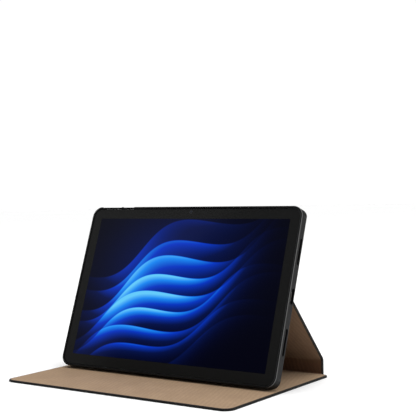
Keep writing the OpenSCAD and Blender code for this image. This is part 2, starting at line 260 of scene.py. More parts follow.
class Socket:
    """A shader socket that takes part in sums.

    Args:
        tree: The shader tree that the socket is in.
        socket: The output socket itself.
    """

    __add__, __radd__ = operator_of("ADD"), operator_of("ADD", True)
    __sub__, __rsub__ = operator_of("SUBTRACT"), operator_of("SUBTRACT", True)
    __mul__, __rmul__ = operator_of("MULTIPLY"), operator_of("MULTIPLY", True)
    __truediv__, __rtruediv__ = operator_of("DIVIDE"), operator_of("DIVIDE", True)
    __pow__, __rpow__ = operator_of("POWER"), operator_of("POWER", True)
    __abs__, sine, power_of_e = operator_of("ABSOLUTE"), operator_of("SINE"), operator_of("EXPONENT")
    highest, lowest = operator_of("MAXIMUM"), operator_of("MINIMUM")

    def __init__(self, tree: "ShaderTree", socket: bpy.types.NodeSocket) -> None:
        """Keeps the socket and its tree."""
        self.tree = tree
        self.socket = socket

    def step(self, low: float, high: float) -> "Socket":
        """Soft step.

        Args:
            low: Where the step is still 0.
            high: Where the step has reached 1; it may be below low.

        Returns:
            The step's value.
        """
        ends = (low, high, 0.0, 1.0) if low <= high else (high, low, 1.0, 0.0)
        values = {"Value": self, **dict(zip(("From Min", "From Max", "To Min", "To Max"), ends))}
        return self.tree.add("ShaderNodeMapRange", {"interpolation_type": "SMOOTHSTEP"}, values)

    def axes(self) -> tuple["Socket", "Socket", "Socket"]:
        """The three parts of a vector."""
        node = self.tree.add("ShaderNodeSeparateXYZ", {}, {0: self}).socket.node
        return tuple(Socket(self.tree, out) for out in node.outputs)  # type: ignore[return-value]

    def scaled(self, factor: float) -> "Socket":
        """A vector times a number."""
        return self.tree.add("ShaderNodeVectorMath", {"operation": "SCALE"}, {0: self, "Scale": factor})

    def moved(self, other: "Socket") -> "Socket":
        """A vector plus another."""
        return self.tree.add("ShaderNodeVectorMath", {"operation": "ADD"}, {0: self, 1: other})


class ShaderTree:
    """The node tree of one material or world."""

    def __init__(self, owner: Union[bpy.types.Material, bpy.types.World]) -> None:
        """Empties the owner's tree.

        Args:
            owner: The material or world whose nodes are made.
        """
        owner.use_nodes = True
        self.tree = owner.node_tree
        self.tree.nodes.clear()

    def add(
        self, kind: str, settings: Optional[dict] = None, values: Optional[dict] = None,
        output: Union[int, str] = 0,
    ) -> Socket:
        """Adds one node.

        Args:
            kind: The node's type.
            settings: Its properties, set first; "stops" are a colour ramp's.
            values: Numbers, colours or sockets for its inputs, by name or index.
            output: Which output to give back.

        Returns:
            The node's chosen output, or its first input if it has none.
        """
        node = self.tree.nodes.new(kind)
        for key, value in (settings or {}).items():
            if key == "stops":
                while len(node.color_ramp.elements) < len(value):
                    node.color_ramp.elements.new(0.5)
                for element, (place, colour) in zip(node.color_ramp.elements, value):
                    element.position, element.color = place, (*colour, 1.0)
            else:
                setattr(node, key, value)
        for key, value in (values or {}).items():
            if isinstance(value, Socket):
                self.tree.links.new(value.socket, node.inputs[key])
            else:
                if node.inputs[key].type == "RGBA" and len(value) == 3:
                    value = (*value, 1.0)
                node.inputs[key].default_value = value
        return Socket(self, node.outputs[output]) if node.outputs else Socket(self, node.inputs[0])

    def place(self) -> Socket:
        """Object coordinates in millimetres."""
        return self.add("ShaderNodeTexCoord", {}, {}, "Object").scaled(1 / MM)

    def flat_place(self) -> Socket:
        """Place on the wrap as it was cut, before folding, in millimetres."""
        settings = {"attribute_name": Wrap.FLAT, "attribute_type": "GEOMETRY"}
        return self.add("ShaderNodeAttribute", settings, {}, "Vector").scaled(1 / MM)

    def tray_place(self) -> Socket:
        """Object coordinates in millimetres, turned upright and centred on the tray's back.

        Returns:
            The vector: across, up the tray, and out of the screen.
        """
        centre = SIZES.tray_frame @ Vector((0, SIZES.tray_h / 2, 0))
        values = {"Vector": self.place(), "Location": centre, "Rotation": (SIZES.stand_angle, 0, 0)}
        return self.add("ShaderNodeMapping", {"vector_type": "TEXTURE"}, values)

    def reach_from(self, right: float, up: float) -> Socket:
        """Distance from a spot on the tray.

        Args:
            right: How far the spot is from the tray's middle, across.
            up: How far it is from the tray's middle, up the tray.

        Returns:
            The distance in millimetres.
        """
        x, y, _ = self.tray_place().axes()
        across, along = x - right, y - up
        return (across * across + along * along) ** 0.5

    def past_outline(
        self, where: Socket, width: float, height: float, radius: Union[Socket, float]
    ) -> Socket:
        """Distance past the outline of a plate with round corners, negative inside it.

        Args:
            where: The place, centred on the plate.
            width: The plate's width.
            height: The plate's height.
            radius: Radius of its corners, which may change over the plate.

        Returns:
            The distance in millimetres.
        """
        x, y, _ = where.axes()
        across, along = abs(x) - (width / 2 - radius), abs(y) - (height / 2 - radius)
        out_x, out_y = across.highest(0.0), along.highest(0.0)
        return (out_x * out_x + out_y * out_y) ** 0.5 + across.highest(along).lowest(0.0) - radius

    def noise(self, where: Socket, size: float, detail: float = 2.0, rough: float = 0.5) -> Socket:
        """Noise from 0 to 1, with features of a size in millimetres and finer layers on them."""
        values = {"Vector": where, "Scale": 1 / size, "Detail": detail, "Roughness": rough}
        return self.add("ShaderNodeTexNoise", {}, values)

    def cells(self, where: Socket, size: float, feature: str = "DISTANCE_TO_EDGE") -> Socket:
        """Cells, as the distance from each cell's edge or centre."""
        values = {"Vector": where, "Scale": 1 / size}
        return self.add("ShaderNodeTexVoronoi", {"feature": feature}, values, "Distance")

    def mix(self, share: Union[Socket, float], first: Any, second: Any) -> Socket:
        """The first colour where the share is 0, the second where it is 1."""
        return self.add("ShaderNodeMix", {"data_type": "RGBA"}, {0: share, 6: first, 7: second}, 2)

    def bump(self, height: Socket, depth: float, strength: float = 1.0) -> Socket:
        """A normal bumped by a height, of which 1 stands for a depth in millimetres."""
        values = {"Height": height, "Distance": depth * MM, "Strength": strength}
        return self.add("ShaderNodeBump", {}, values)

    def surface(self, values: dict) -> None:
        """Ends the tree in one shader with these values."""
        shader = self.add("ShaderNodeBsdfPrincipled", {}, values)
        self.add("ShaderNodeOutputMaterial", {}, {"Surface": shader})


# ---- Finishes ----


@dataclass(frozen=True)
class Finish:
    """What a surface is made of and how it looks.

    Args:
        name: The material's name.
        slot: The record's material slot that it stands for; not used.
    """

    name: str
    slot: str

    def paint(self, tree: ShaderTree) -> None:
        """Builds the finish's nodes."""
        raise NotImplementedError

    def material(self) -> bpy.types.Material:
        """Makes the material, once.

        Returns:
            The material.
        """
        made = bpy.data.materials.get(self.name)
        if made is None:
            made = bpy.data.materials.new(self.name)
            self.paint(ShaderTree(made))
        return made


@dataclass(frozen=True)
class Leather(Finish):
    """Pebbled black leather with soft creases and worn patches.

    Args:
        deep: The colour of its hollows.
        worn: The colour of its worn places.
        pebble: Size of its pebbles in millimetres.
        crease: Distance between its creases in millimetres.
        patch: Size of its worn patches in millimetres.
        relief: How deep its grain is in millimetres.
    """

    deep: tuple = (0.0035, 0.0035, 0.0036)
    worn: tuple = (0.0105, 0.0103, 0.0102)
    pebble: float = 1.25
    crease: float = 9.0
    patch: float = 26.0
    relief: float = 0.16

    def paint(self, tree: ShaderTree) -> None:
        """Grain, pores, creases and slightly worn patches.

        Args:
            tree: The material's nodes.
        """
        where = tree.flat_place()
        drift = tree.noise(where, 2.4, 1.0)
        wander = where.moved(tree.add("ShaderNodeCombineXYZ", {}, {0: drift, 1: drift * -1.0}))
        pebble = tree.cells(wander, self.pebble).step(0.02, 0.32)
        fine = tree.cells(wander, 0.55).step(0.0, 0.4)
        pores = tree.noise(where, 0.35, 2.0)
        cloud = tree.noise(where, self.patch, 3.0, 0.6)
        vein = abs(tree.noise(where, self.crease, 3.0, 0.62) - 0.5)
        crease = vein.step(0.0, 0.06)
        height = pebble * 0.45 + fine * 0.2 + pores * 0.2 + crease * 0.7 + cloud * 1.6
        tone = cloud.step(0.34, 0.68) * 0.6 + pebble * 0.25 + (1 - crease) * 0.15
        tree.surface({
            "Base Color": tree.mix(tone, self.deep, self.worn),
            "Roughness": 0.6 - pebble * 0.08 - cloud * 0.14,
            "Specular IOR Level": 0.12,
            "Normal": tree.bump(height, self.relief, 0.9),
        })


@dataclass(frozen=True)
class TwillLining(Finish):
    """Tan lining with a fine slanting weave, with painted shade darkening it on the spine and the flap.

    Args:
        light: The colour of its high threads.
        dark: The colour of its low threads.
        painted_shade_high_thread: The colour of its high threads on the spine, darkened as painted
            shade.
        painted_shade_low_thread: The colour of its low threads on the spine, darkened as painted shade.
        coat: The colour of the coat on its rim.
        coat_w: How wide that coat is in millimetres.
        coat_back: How far the coat's turn into the spine lies before the cover's rear edge.
        pitch: Distance between ribs in millimetres.
        band: How many ribs a soft band of shade is wide.
        flap_shade_share: How much of the spine's painted shade shows on the flap.
    """

    light: tuple = (0.397, 0.269, 0.163)
    dark: tuple = (0.213, 0.135, 0.079)
    painted_shade_high_thread: tuple = (0.185, 0.09, 0.046)
    painted_shade_low_thread: tuple = (0.08, 0.037, 0.019)
    coat: tuple = (0.006, 0.006, 0.006)
    coat_w: float = 2.0
    coat_back: float = 6.0
    pitch: float = 1.15
    band: float = 4.0
    flap_shade_share: float = 0.62

    def edge_coat(self, tree: ShaderTree, where: Socket) -> Socket:
        """Where the black coat of the leather's edge runs on to the lining.

        Args:
            tree: The material's nodes.
            where: The place on the flat wrap.

        Returns:
            One on the coat, zero elsewhere.
        """
        s = SIZES
        across, along, _ = where.axes()
        radius = s.cover_front_r - along.step(-5.0, 5.0) * (s.cover_front_r - s.cover_rear_r)
        past_cover = tree.past_outline(where, s.cover_w, s.cover_d, radius)
        past_strip = (abs(across) - s.strip_w / 2).highest(s.cover_d / 2 - self.coat_back - along)
        return past_cover.lowest(past_strip).step(-self.coat_w, -self.coat_w * 0.8)

    def paint(self, tree: ShaderTree) -> None:
        """Slanting ribs, crossing threads, nap, a soft change of shade, and painted shade on the spine
        and the flap.

        Args:
            tree: The material's nodes.
        """
        where = tree.flat_place()
        across, along, _ = where.axes()
        turn = 2 * math.pi / self.pitch
        drift = tree.noise(where, 6.0, 2.0)
        rib = ((across * 0.8 + along + drift * 0.5) * turn).sine() * 0.5 + 0.5
        thread = ((across - along * 0.8) * (turn * 1.3)).sine() * 0.5 + 0.5
        nap = tree.noise(where, 0.5, 3.0, 0.7)
        shade = tree.noise(where, 34.0, 2.0)
        band = ((across + along * 0.35 + drift * 4.0) * (turn / self.band)).sine() * 0.5 + 0.5
        weave = rib * 0.55 + thread * 0.3 + nap * 0.4
        grain = tree.noise(where, 2.6, 3.0, 0.7)
        tone = weave * 0.36 + shade * 0.26 + grain * 0.22 + band * tree.noise(where, 18.0, 1.0) * 0.24
        bright = tone.step(0.12, 0.98)
        # Painted shade: the lining is darker on the spine, and somewhat less dark on the flap.
        fold = SIZES.cover_d / 2
        on_flap = along.step(fold + SIZES.spine_l - 1.0, fold + SIZES.spine_l + 3.0)
        inner = along.step(fold - 4.0, fold) * (1 - on_flap * (1 - self.flap_shade_share))
        cloth = tree.mix(
            inner, tree.mix(bright, self.dark, self.light),
            tree.mix(bright, self.painted_shade_low_thread, self.painted_shade_high_thread),
        )
        tree.surface({
            "Base Color": tree.mix(self.edge_coat(tree, where), cloth, self.coat),
            "Roughness": 0.78 + nap * 0.16,
            "Specular IOR Level": 0.25,
            "Sheen Weight": 0.22,
            "Sheen Roughness": 0.5,
            "Sheen Tint": (0.9, 0.72, 0.55, 1.0),
            "Normal": tree.bump(weave + shade * 0.6, 0.09, 0.7),
        })


@dataclass(frozen=True)
class PressedBoard(Finish):
    """Grey pressed board with fibres and specks."""

    def paint(self, tree: ShaderTree) -> None:
        """Long fibres over a mottled ground.

        Args:
            tree: The material's nodes.
        """
        where = tree.place()
        fibre = tree.noise(where, 1.6, 5.0, 0.75)
        speck = tree.cells(where, 3.2, "F1").step(0.2, 0.06)
        tone = fibre.step(0.3, 0.7) - speck * 0.35
        tree.surface({
            "Base Color": tree.mix(tone, (0.2, 0.185, 0.16), (0.36, 0.34, 0.3)),
            "Roughness": 0.84 + fibre * 0.12,
            "Specular IOR Level": 0.3,
            "Normal": tree.bump(fibre, 0.05, 0.6),
        })


@dataclass(frozen=True)
class MouldedPlastic(Finish):
    """Matt black moulded plastic with a spark-eroded texture, and painted highlight lines along the rim
    near the tray's sides.

    Args:
        base: Its colour.
        handled: The colour of its shinier, handled places.
        painted_highlight_colour: The colour of the painted highlight lines.
        line_w: Width of the outer painted highlight line in millimetres.
        highlight_reach: How far in from the tray's sides the painted highlight lines reach, in
            millimetres.
    """

    base: tuple = (0.0035, 0.0036, 0.0038)
    handled: tuple = (0.0085, 0.0086, 0.009)
    painted_highlight_colour: tuple = (0.1, 0.1, 0.1)
    line_w: float = 0.45
    highlight_reach: float = 12.0

    def paint(self, tree: ShaderTree) -> None:
        """Fine texture, slight flow marks, and a painted highlight line on both edges of the rim's
        sides.

        Args:
            tree: The material's nodes.
        """
        s = SIZES
        where = tree.place()
        texture = tree.noise(where, 0.28, 2.0, 0.6)
        flow = tree.noise(where, 22.0, 2.0)
        blotch = tree.noise(where, 7.0, 3.0, 0.6)
        upright = tree.tray_place()
        past = tree.past_outline(upright, s.tray_w, s.tray_h, s.tray_r)
        across, _, height = upright.axes()
        near_sides = abs(across).step(s.tray_w / 2 - self.highlight_reach, s.tray_w / 2 - self.highlight_reach / 4)
        front = height.step(s.tray_t - 0.2, s.tray_t - 0.05)
        # Painted highlight: light lines on the rim's outer rounding and along its inner edge, near the
        # tray's sides.
        outer = past.step(-self.line_w, -self.line_w * 0.6) * height.step(s.tray_t - 1.1, s.tray_t - 0.8)
        inner = abs(past + s.tray_wall).step(0.25, 0.1) * front * 0.4
        painted_highlight_mask = (outer + inner) * near_sides * blotch.step(0.0, 0.4)
        plain = tree.mix(flow.step(0.3, 0.72) * 0.5 + texture * 0.4, self.base, self.handled)
        tree.surface({
            "Base Color": tree.mix(painted_highlight_mask, plain, self.painted_highlight_colour),
            "Roughness": 0.46 + texture * 0.1 + blotch * 0.1 - front * 0.3,
            "Specular IOR Level": 0.2,
            "Normal": tree.bump(texture + flow * 0.8, 0.02, 0.5),
        })


@dataclass(frozen=True)
class Metal(Finish):
    """A metal part.

    Args:
        colour: Its colour.
        grain: How it was finished.
        rough: Its mean roughness.
    """

    colour: tuple
    grain: Grain
    rough: float

    def paint(self, tree: ShaderTree) -> None:
        """Fine marks of the finish, with stains far wider than them.

        Args:
            tree: The material's nodes.
        """
        where = tree.place()
        stain = tree.noise(where, 14.0, 3.0)
        if self.grain is Grain.BRUSHED:
            long_way = tree.add("ShaderNodeMapping", {}, {"Vector": where, "Scale": (0.03, 1.0, 1.0)})
            marks, depth = tree.noise(long_way, 0.22, 2.0), 0.012
        elif self.grain is Grain.BLASTED:
            marks, depth = tree.noise(where, 0.2, 1.0), 0.012
        else:
            marks, depth = tree.noise(where, 3.0, 3.0), 0.004
        shade = tuple(0.72 * part for part in self.colour)
        tree.surface({
            "Base Color": tree.mix(stain.step(0.28, 0.7) * 0.7 + marks * 0.3, shade, self.colour),
            "Metallic": 1.0,
            "Roughness": self.rough - 0.05 + marks * 0.1 + stain * 0.06,
            "Normal": tree.bump(marks, depth, 0.5),
        })


@dataclass(frozen=True)
class Picture(Finish):
    """Soft blue waves of light on a dark ground, as wide as the display.

    Args:
        window: Width, height and corner radius of the lit window.
        strength: How bright it glows.
        ramp: The glow's colours, each with the light at which it shows.
        waves: Each crest's height, rate and phase, its level, how fast it fades and its power.
    """

    window: tuple = (SIZES.tablet_w - 2 * SIZES.bezel, SIZES.tablet_h - 2 * SIZES.bezel, 0.6)
    strength: float = 1.0
    ramp: tuple = (
        (0.0, (0.0001, 0.0003, 0.0042)), (0.12, (0.0008, 0.0055, 0.0620)),
        (0.36, (0.0015, 0.0380, 0.5400)), (0.64, (0.0100, 0.2500, 0.9000)),
        (1.0, (0.1300, 0.6000, 0.9600)),
    )
    waves: tuple = (
        (0.20, 4.1, 0.9, 0.70, 9.0, 0.95), (0.17, 4.6, 1.5, 0.50, 10.0, 1.0),
        (0.20, 4.3, 2.1, 0.32, 8.0, 1.05), (0.16, 4.8, 2.9, 0.16, 10.0, 1.1),
        (0.18, 4.2, 3.5, -0.02, 8.0, 1.1), (0.15, 4.9, 4.3, -0.18, 11.0, 1.0),
        (0.19, 4.0, 4.8, -0.36, 9.0, 1.0), (0.14, 4.7, 5.6, -0.54, 11.0, 0.95),
        (0.16, 4.1, 6.2, -0.74, 9.0, 0.9),
    )

    def glow(self, tree: ShaderTree) -> Socket:
        """The waves.

        Args:
            tree: The tree to add them to.

        Returns:
            The glow's colour.
        """
        x, y, _ = tree.tray_place().axes()
        across, up = x / (self.window[0] / 2), y / (self.window[1] / 2)
        along, over = across * 0.9 + up * 0.34, up * 0.86 - across * 0.5
        aside, above = across + 0.16 - up * 0.22, up + 0.1
        pool = (aside * aside * -4.6 + above * above * -1.7).power_of_e()
        haze = ((across + 0.15) * (across + 0.15) * -3.2 + (up - 0.3) * (up - 0.3) * -2.0).power_of_e()
        light: Union[Socket, float] = haze * 0.13
        for height, rate, phase, level, soft, power in self.waves:
            below = (along * rate + phase).sine() * height + level - over
            body = (below.highest(0.0) * -soft).power_of_e()
            light = light + body * below.step(-0.01, 0.01) * power * pool
        return tree.add("ShaderNodeValToRGB", {"stops": self.ramp}, {0: light})

    def paint(self, tree: ShaderTree) -> None:
        """The glow on a dark panel.

        Args:
            tree: The material's nodes.
        """
        tree.surface({
            "Base Color": (0.004, 0.005, 0.008, 1.0),
            "Roughness": 0.35,
            "Emission Color": self.glow(tree),
            "Emission Strength": self.strength,
        })


@dataclass(frozen=True)
class CoverGlass(Picture):
    """Black-bordered cover glass over the lit display, with the front camera's window.

    Args:
        border: The colour of the border behind the glass.
        frame: The colour of the faint frame that the display's edge makes.
        side: The colour of the glass's ground side.
    """

    border: tuple = (0.0105, 0.0107, 0.0107)
    frame: tuple = (0.0001, 0.0001, 0.0002)
    side: tuple = (0.11, 0.125, 0.13)

    def paint(self, tree: ShaderTree) -> None:
        """Black border, lit window, a faint frame round it, and the camera's window.

        Args:
            tree: The material's nodes.
        """
        _, _, z = tree.tray_place().axes()
        reach = tree.reach_from(0.0, SIZES.tablet_h / 2 - SIZES.front_camera_inset)
        ring = reach.step(1.9, 1.7) * reach.step(1.25, 1.45)
        pupil = reach.step(0.75, 0.55)
        smear = tree.noise(tree.place(), 17.0, 3.0)
        sides = z.step(SIZES.glass_face - 0.02, SIZES.glass_face - 0.16)
        past = tree.past_outline(tree.tray_place(), *self.window)
        mask = tree.mix(past.step(-0.3, 0.5), self.frame, self.border)
        mask = tree.mix(ring * 0.7, mask, (0.05, 0.053, 0.06))
        mask = tree.mix(pupil, mask, (0.02, 0.028, 0.05))
        tree.surface({
            "Base Color": tree.mix(sides, mask, self.side),
            "Roughness": 0.06 + smear * 0.04,
            "Specular IOR Level": 0.26,
            "Emission Color": tree.mix(past.step(0.15, -0.15), (0.0, 0.0, 0.0), self.glow(tree)),
            "Emission Strength": self.strength,
        })


@dataclass(frozen=True)
class Circuit(Finish):
    """Circuit board: masked copper tracks, shield cans and pads."""

    def paint(self, tree: ShaderTree) -> None:
        """Blocks for the parts on the board, and tracks between them.

        Args:
            tree: The material's nodes.
        """
        where = tree.tray_place()
        block = tree.add(
            "ShaderNodeTexBrick", {"offset": 0.37, "squash": 0.6},
            {"Vector": where, "Scale": 0.045, "Mortar Size": 0.06, "Mortar Smooth": 0.1,
             "Color1": (0.34, 0.34, 0.35, 1), "Color2": (0.02, 0.02, 0.022, 1),
             "Mortar": (0.004, 0.045, 0.026, 1)},
        )
        gap = Socket(tree, block.socket.node.outputs[1])
        tracks = tree.cells(where, 1.6).step(0.1, 0.02)
        tree.surface({
            "Base Color": tree.mix(gap * tracks * 0.7, block, (0.02, 0.16, 0.08)),
            "Roughness": 0.38 + gap * 0.15,
            "Metallic": (1 - gap) * 0.6,
            "Normal": tree.bump(1 - gap, 0.3, 0.8),
        })


@dataclass(frozen=True)
class Foil(Finish):
    """Wrapped battery cells: dark foil with taped seams.

    Args:
        shine: The colour of its crests and seams.
        seam_at: How far the seams are from the battery's middle, in millimetres.
    """

    shine: tuple = (0.05, 0.05, 0.055)
    seam_at: float = 36.0

    def paint(self, tree: ShaderTree) -> None:
        """Crinkled foil, and a seam between the cells.

        Args:
            tree: The material's nodes.
        """
        where = tree.tray_place()
        across, _, _ = where.axes()
        seam = abs(abs(across) - self.seam_at).step(0.6, 0.2)
        crinkle = tree.noise(where, 5.0, 4.0, 0.6)
        tree.surface({
            "Base Color": tree.mix(crinkle * 0.6 + seam * 0.4, (0.012, 0.012, 0.014), self.shine),
            "Metallic": 0.5,
            "Roughness": 0.34 + crinkle * 0.2,
            "Normal": tree.bump(crinkle - seam * 0.6, 0.12, 0.6),
        })


@dataclass(frozen=True)
class Plain(Finish):
    """A small moulded, coated or glued part.

    Args:
        colour: Its colour.
        shade: The colour of its darker places.
        rough: Its mean roughness.
        size: Size of its mottling in millimetres.
        coat: Weight of a clear coat on it.
    """

    colour: tuple
    shade: tuple
    rough: float
    size: float = 0.8
    coat: float = 0.0

    def paint(self, tree: ShaderTree) -> None:
        """Mottled colour with a fine texture.

        Args:
            tree: The material's nodes.
        """
        where = tree.place()
        mottle = tree.noise(where, self.size * 4, 3.0)
        texture = tree.noise(where, self.size * 0.5, 2.0)
        tree.surface({
            "Base Color": tree.mix(mottle.step(0.3, 0.7), self.shade, self.colour),
            "Roughness": self.rough - 0.06 + texture * 0.12,
            "Coat Weight": self.coat,
            "Normal": tree.bump(texture, 0.02, 0.4),
        })


@dataclass(frozen=True)
class RearLens(Finish):
    """Glass over the rear camera: a black mask, a fine ring, a violet coating and a dark pupil.

    Args:
        ring: Radius of the ring in millimetres.
        pupil: Radius of the pupil in millimetres.
    """

    ring: float = 2.9
    pupil: float = 1.3

    def paint(self, tree: ShaderTree) -> None:
        """Rings about the camera's middle, under slightly smeared glass.

        Args:
            tree: The material's nodes.
        """
        reach = tree.reach_from(SIZES.camera_spot.x, SIZES.camera_spot.y - SIZES.tray_h / 2)
        smear = tree.noise(tree.place(), 2.4, 3.0)
        violet = reach.step(self.ring, self.pupil)
        coating = tree.mix(violet, (0.004, 0.003, 0.009), (0.022, 0.008, 0.045))
        inside = tree.mix(reach.step(self.pupil, self.pupil - 0.15), coating, (0.0006, 0.0006, 0.001))
        masked = tree.mix(reach.step(self.ring, self.ring + 0.1), inside, (0.0022, 0.0022, 0.0024))
        line = abs(reach - self.ring).step(0.22, 0.12)
        tree.surface({
            "Base Color": tree.mix(line, masked, (0.09, 0.09, 0.095)),
            "Roughness": 0.16 + smear * 0.08 + line * 0.15,
            "Specular IOR Level": 0.16,
            "Normal": tree.bump(smear, 0.01, 0.2),
        })


class Finishes:
    """Every finish of the case, by its place."""

    leather = Leather("black_leather", "leather")
    lining = TwillLining("tan_lining", "lining")
    board = PressedBoard("pressed_board", "board")
    tray = MouldedPlastic("moulded_tray", "tray")
    film = Plain("bonding_film", "film", (0.03, 0.028, 0.025), (0.014, 0.013, 0.012), 0.5, 3.0)
    magnet = Metal("nickel_plate", "magnet", (0.62, 0.61, 0.58), Grain.PLATED, 0.22)
    housing = Metal("blasted_housing", "tablet_metal", (0.045, 0.046, 0.049), Grain.BLASTED, 0.42)
    key = Metal("anodised_key", "tablet_metal", (0.012, 0.0122, 0.013), Grain.BLASTED, 0.5)
    glass = CoverGlass("bordered_glass", "screen_glass")
    picture = Picture("display_glow", "display")
    plate = Metal("brushed_plate", "inner_plate", (0.56, 0.57, 0.58), Grain.BRUSHED, 0.34)
    battery = Foil("battery_foil", "battery")
    circuit = Circuit("circuit", "circuit")
    speaker = Plain("speaker_box", "speaker", (0.045, 0.045, 0.05), (0.02, 0.02, 0.022), 0.5)
    contact = Metal("contact_plate", "contact_metal", (0.66, 0.65, 0.62), Grain.BRUSHED, 0.26)
    gold = Metal("gold_contacts", "contact_metal", (0.8, 0.56, 0.22), Grain.PLATED, 0.24)
    switches = Plain("switch_strip", "switch_strip", (0.52, 0.3, 0.09), (0.36, 0.2, 0.05), 0.42)
    ring = Metal("camera_ring", "camera_ring", (0.1, 0.1, 0.105), Grain.PLATED, 0.2)
    lens = Plain("coated_lens", "lens", (0.008, 0.01, 0.03), (0.003, 0.004, 0.012), 0.08, 2.0, 0.8)
    rear_lens = RearLens("rear_lens", "lens")


# ---- Modelling bench ----


class Bench:
    """One mesh while it is being made, in millimetres.

    Args:
        name: The finished piece's name.
    """

    MERGE = 1e-4
    SHARP = math.radians(38)
    CORNER_STEPS = 10

    def __init__(self, name: str) -> None:
        """Starts with nothing on the bench."""
        self.name = name
        self.bm = bmesh.new()

    @classmethod
    def from_node(cls, name: str, node: str) -> "Bench":
        """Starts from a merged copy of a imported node.

        Args:
            name: The finished piece's name.
            node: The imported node.

        Returns:
            The bench with the copy on it, in the case's frame.
        """
        bench = cls(name)
        bench.bm.from_mesh(frame["nodes"][node].data)
        bench.move(Matrix.Scale(1 / MM, 4))
        bmesh.ops.remove_doubles(bench.bm, verts=bench.bm.verts, dist=2 * cls.MERGE)
        bmesh.ops.dissolve_limit(
            bench.bm, angle_limit=math.radians(0.4), use_dissolve_boundaries=False,
            verts=bench.bm.verts, edges=bench.bm.edges, delimit=set(),
        )
        return bench

    def move(self, matrix: Matrix) -> None:
        """Transforms everything on the bench."""
        bmesh.ops.transform(self.bm, matrix=matrix, verts=self.bm.verts)

    def outline(self, corners: Sequence[tuple[float, float, float]]) -> None:
        """Makes one flat face whose corners are round.

        Args:
            corners: Across, along and radius of each corner, anticlockwise.
        """
        made = [self.bm.verts.new((x, y, 0)) for x, y, _ in corners]
        self.bm.faces.new(made)
        for vert, (_, _, radius) in zip(made, corners):
            if radius > 0:
                bmesh.ops.bevel(
                    self.bm, geom=[vert], offset=radius, offset_type="OFFSET", affect="VERTICES",
                    segments=self.CORNER_STEPS, profile=0.5, material=-1, clamp_overlap=False,
                )

    def thicken(self, height: float) -> None:
        """Raises a flat outline into a closed plate.

        Args:
            height: The plate's thickness.
        """
        flat = list(self.bm.faces)
        raised = bmesh.ops.extrude_face_region(self.bm, geom=flat, use_keep_orig=True)["geom"]
        verts = [item for item in raised if isinstance(item, bmesh.types.BMVert)]
        bmesh.ops.translate(self.bm, vec=(0, 0, height), verts=verts)
        bmesh.ops.recalc_face_normals(self.bm, faces=self.bm.faces)

    def facing(self, up: float) -> list[bmesh.types.BMFace]:
        """Faces that look straight up (1) or down (-1)."""
        self.bm.normal_update()
        return [face for face in self.bm.faces if face.normal.z * up > 0.999]

    def shape_face(self, up: float, steps: Sequence[tuple[float, float]]) -> None:
        """Works a plate's upper or lower face inwards in steps.

        Args:
            up: 1 for the upper face and -1 for the lower one.
            steps: How far in, and how far out along the face's normal, each step goes.
        """
        faces = self.facing(up)
        for inwards, outwards in steps:
            bmesh.ops.inset_region(
                self.bm, faces=faces, thickness=inwards, depth=outwards,
                use_even_offset=True, use_boundary=True,
            )

    def cut_across(self, place: float, side: float = 1.0, clear: bool = False) -> list:
        """Adds a line of edges across the piece at one place along it.

        Args:
            place: Where it is cut.
            side: Which way the cut faces, 1 or -1.
            clear: Whether what lies on that side is taken away.

        Returns:
            The cut's vertices and edges.
        """
        everything = [*self.bm.verts, *self.bm.edges, *self.bm.faces]
        return bmesh.ops.bisect_plane(
            self.bm, geom=everything, dist=1e-5, plane_co=(0, place, 0), plane_no=(0, side, 0),
            clear_outer=clear,
        )["geom_cut"]

    def keep_between(self, low: Optional[float], high: Optional[float]) -> None:
        """Cuts the piece off along its length and closes the ends.

        Args:
            low: Where it starts, or None to leave that end.
            high: Where it ends, or None to leave that end.
        """
        for place, side in ((low, -1.0), (high, 1.0)):
            if place is not None:
                cut = self.cut_across(place, side, True)
                rim = [item for item in cut if isinstance(item, bmesh.types.BMEdge)]
                bmesh.ops.edgeloop_fill(self.bm, edges=rim)

    def soften(
        self, width: float, segments: int = 2, sharper: float = 50.0,
        where: Optional[Callable[[Vector], bool]] = None,
    ) -> None:
        """Rounds the outer edges that are sharp.

        Args:
            width: How far the rounding reaches from the edge.
            segments: Steps of the rounding.
            sharper: The least angle between two faces that counts, in degrees.
            where: Which edges, by the middle of each; all of them if left out.
        """
        self.bm.normal_update()
        edges = [
            edge for edge in self.bm.edges
            if len(edge.link_faces) == 2 and edge.is_convex
            and edge.calc_face_angle() > math.radians(sharper)
            and (where is None or where((edge.verts[0].co + edge.verts[1].co) / 2))
        ]
        bmesh.ops.bevel(
            self.bm, geom=edges, offset=width, offset_type="OFFSET", affect="EDGES",
            segments=segments, profile=0.5, material=-1, clamp_overlap=False,
        )

    def carve(self, tool: "Bench") -> None:
        """Cuts another bench's shape out of this one.

        Args:
            tool: The shape that is taken away; it is used up.
        """
        whole, cutter = self.as_object(), tool.as_object()
        change = whole.modifiers.new("carve", "BOOLEAN")
        change.object, change.operation, change.solver = cutter, "DIFFERENCE", "EXACT"
        graph = bpy.context.evaluated_depsgraph_get()
        carved = whole.evaluated_get(graph).to_mesh()
        self.bm.free()
        tool.bm.free()
        self.bm = bmesh.new()
        self.bm.from_mesh(carved)
        for spare in (whole, cutter):
            mesh = spare.data
            bpy.data.objects.remove(spare)
            bpy.data.meshes.remove(mesh)
        bmesh.ops.remove_doubles(self.bm, verts=self.bm.verts, dist=self.MERGE)

    def as_object(self) -> bpy.types.Object:
        """Copies the bench's mesh into the scene.

        Returns:
            The new object.
        """
        mesh = bpy.data.meshes.new(self.name)
        self.bm.to_mesh(mesh)
        made = bpy.data.objects.new(self.name, mesh)
        bpy.context.scene.collection.objects.link(made)
        return made

    def finish_stage(self, finish: Finish) -> bpy.types.Object:
        """Turns the bench's mesh into a piece in metres; the bench is used up.

        Args:
            finish: What it is made of.

        Returns:
            The piece, at the origin with its place in its mesh.
        """
        self.move(Matrix.Scale(MM, 4))
        piece = self.as_object()
        self.bm.free()
        piece.data.materials.append(finish.material())
        return piece

